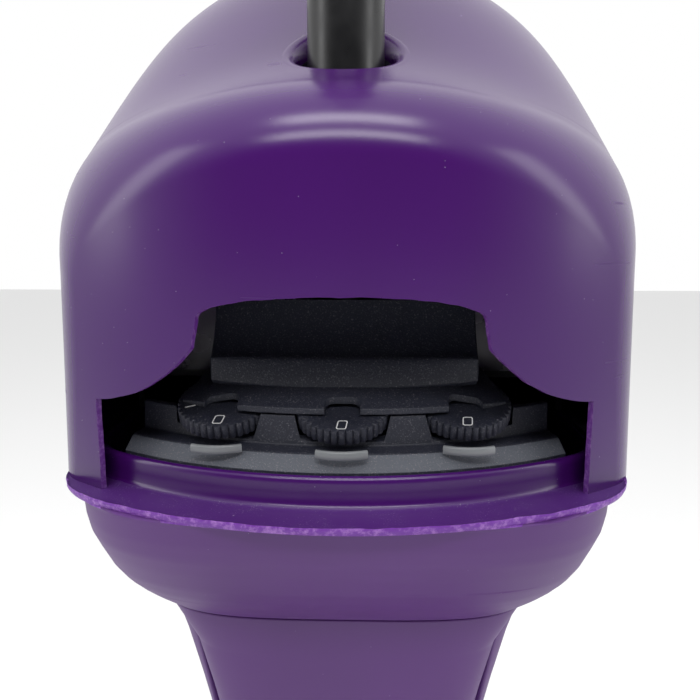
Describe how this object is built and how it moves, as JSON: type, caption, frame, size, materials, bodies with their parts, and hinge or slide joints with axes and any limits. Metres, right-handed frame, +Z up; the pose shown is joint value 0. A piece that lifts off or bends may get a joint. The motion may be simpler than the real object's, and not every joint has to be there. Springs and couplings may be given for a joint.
{
  "type": "carpet cleaner machine",
  "caption": "Upright carpet cleaner with a purple arched hood, thumbwheel controls, loop grip, reclining column and a wheeled brush head.",
  "frame": {"origin": "on the floor, under the middle of the machine", "axes": "+X to the operator's right, +Y away from the operator, +Z up"},
  "size_m": [0.32, 0.386, 1.0795],
  "materials": {
    "purple_gloss": "glossy moulded purple plastic with fine scratches and dust",
    "purple_satin": "satin moulded purple plastic",
    "black_textured": "fine spark-textured black plastic",
    "grey_plastic": "plain dark grey moulded plastic",
    "black_tube": "satin black coated tube",
    "dark_plastic": "satin black moulded plastic",
    "tank_clear": "smoky translucent blow-moulded plastic",
    "tank_lid": "glossy black plastic",
    "rubber_black": "matt black rubber",
    "bristle": "black nylon bristle tufts",
    "steel": "bright plated steel",
    "motor_can": "plain drawn can",
    "alloy": "machined alloy"
  },
  "bodies": {
    "head": {"head_base": "dark_plastic", "head_cover": "purple_gloss", "pivot_shaft": "steel", "rear_axle": "steel", "axle_clips": "steel", "roller_pins": "steel", "brush_bearings": "grey_plastic", "brush_motor": "motor_can", "brush_belt": "rubber_black", "fan_motor": "motor_can", "recovery_tank": "tank_clear", "recovery_lid": "tank_lid", "suction_nozzle": "dark_plastic", "bumper": "rubber_black", "squeegee": "rubber_black", "head_hose": "rubber_black", "spray_bar": "grey_plastic", "pedal_pin": "steel"},
    "upper": {"hood": "purple_gloss", "lower_shell": "purple_gloss", "column_cover": "purple_satin", "column_spine": "purple_satin", "yoke": "grey_plastic", "tube_socket": "grey_plastic", "control_base": "black_textured", "control_cover": "black_textured", "valve_block": "grey_plastic", "dial_detents": "grey_plastic", "handle_tube": "black_tube", "tube_bolts": "steel", "cord_hook_lower": "black_textured", "grip_left": "black_textured", "grip_right": "black_textured", "grip_screws": "steel", "trigger_pin": "steel", "switch_bezel": "black_textured", "solution_tank": "tank_clear", "tank_shelf": "grey_plastic", "pump": "motor_can", "power_inlet": "grey_plastic", "solution_hose": "rubber_black"},
    "dial_left": {"dial_left": "black_textured"},
    "dial_centre": {"dial_centre": "black_textured"},
    "dial_right": {"dial_right": "black_textured"},
    "trigger": {"trigger": "black_textured"},
    "power_rocker": {"power_rocker": "black_textured"},
    "tank_cap": {"tank_cap": "black_textured"},
    "cord_hook": {"cord_hook_upper": "black_textured"},
    "recline_pedal": {"recline_pedal": "black_textured"},
    "brush_roll": {"brush_core": "grey_plastic", "brush_bristles": "bristle", "brush_pulley": "alloy"},
    "motor_rotor": {"motor_shaft": "steel", "motor_pulley": "alloy"},
    "wheel_left": {"wheel_left": "dark_plastic", "tyre_left": "rubber_black"},
    "wheel_right": {"wheel_right": "dark_plastic", "tyre_right": "rubber_black"},
    "roller_left": {"roller_left": "dark_plastic"},
    "roller_right": {"roller_right": "dark_plastic"}
  },
  "joints": [
    {"name": "recline", "type": "hinge", "parent": "head", "child": "upper", "pos_m": [0, -0.046, 0.085], "axis": [1, 0, 0], "range_deg": [0, 60]},
    {"name": "dial_left_turn", "type": "hinge", "parent": "upper", "child": "dial_left", "pos_m": [-0.048, -0.11619, 0.5039], "axis": [0, -0.342, 0.9397], "range_deg": [0, 270]},
    {"name": "dial_centre_turn", "type": "hinge", "parent": "upper", "child": "dial_centre", "pos_m": [0, -0.1226, 0.5039], "axis": [0, -0.342, 0.9397], "range_deg": [0, 270]},
    {"name": "dial_right_turn", "type": "hinge", "parent": "upper", "child": "dial_right", "pos_m": [0.048, -0.11619, 0.5039], "axis": [0, -0.342, 0.9397], "range_deg": [0, 270]},
    {"name": "trigger_squeeze", "type": "hinge", "parent": "upper", "child": "trigger", "pos_m": [0, -0.1, 1.066], "axis": [-1, 0, 0], "range_deg": [0, 8], "stiffness_Nm_per_rad": 2, "springref_deg": -2.86},
    {"name": "power_rock", "type": "hinge", "parent": "upper", "child": "power_rocker", "pos_m": [0, -0.099, 0.95], "axis": [1, 0, 0], "range_deg": [0, 12]},
    {"name": "tank_cap_turn", "type": "hinge", "parent": "upper", "child": "tank_cap", "pos_m": [0, 0.049, 0.735], "axis": [0, 0, 1], "range_deg": [0, 90]},
    {"name": "cord_hook_swivel", "type": "hinge", "parent": "upper", "child": "cord_hook", "pos_m": [0, -0.083, 0.878], "axis": [0, 0, 1], "range_deg": [-90, 90]},
    {"name": "pedal_press", "type": "hinge", "parent": "head", "child": "recline_pedal", "pos_m": [0.068, -0.062, 0.066], "axis": [1, 0, 0], "range_deg": [0, 12], "stiffness_Nm_per_rad": 1.5, "springref_deg": -4.58},
    {"name": "brush_spin", "type": "hinge", "parent": "head", "child": "brush_roll", "pos_m": [0, 0.118, 0.032], "axis": [1, 0, 0], "continuous": true},
    {"name": "motor_spin", "type": "hinge", "parent": "head", "child": "motor_rotor", "pos_m": [-0.15, 0.036, 0.048], "axis": [1, 0, 0], "continuous": true},
    {"name": "wheel_left_spin", "type": "hinge", "parent": "head", "child": "wheel_left", "pos_m": [-0.139, -0.086, 0.045], "axis": [1, 0, 0], "continuous": true},
    {"name": "wheel_right_spin", "type": "hinge", "parent": "head", "child": "wheel_right", "pos_m": [0.139, -0.086, 0.045], "axis": [1, 0, 0], "continuous": true},
    {"name": "roller_left_spin", "type": "hinge", "parent": "head", "child": "roller_left", "pos_m": [-0.131, 0.163, 0.012], "axis": [1, 0, 0], "continuous": true},
    {"name": "roller_right_spin", "type": "hinge", "parent": "head", "child": "roller_right", "pos_m": [0.131, 0.163, 0.012], "axis": [1, 0, 0], "continuous": true}
  ],
  "couplings": [
    {"joint": "motor_spin", "follows": "brush_spin", "ratio": 3}
  ]
}
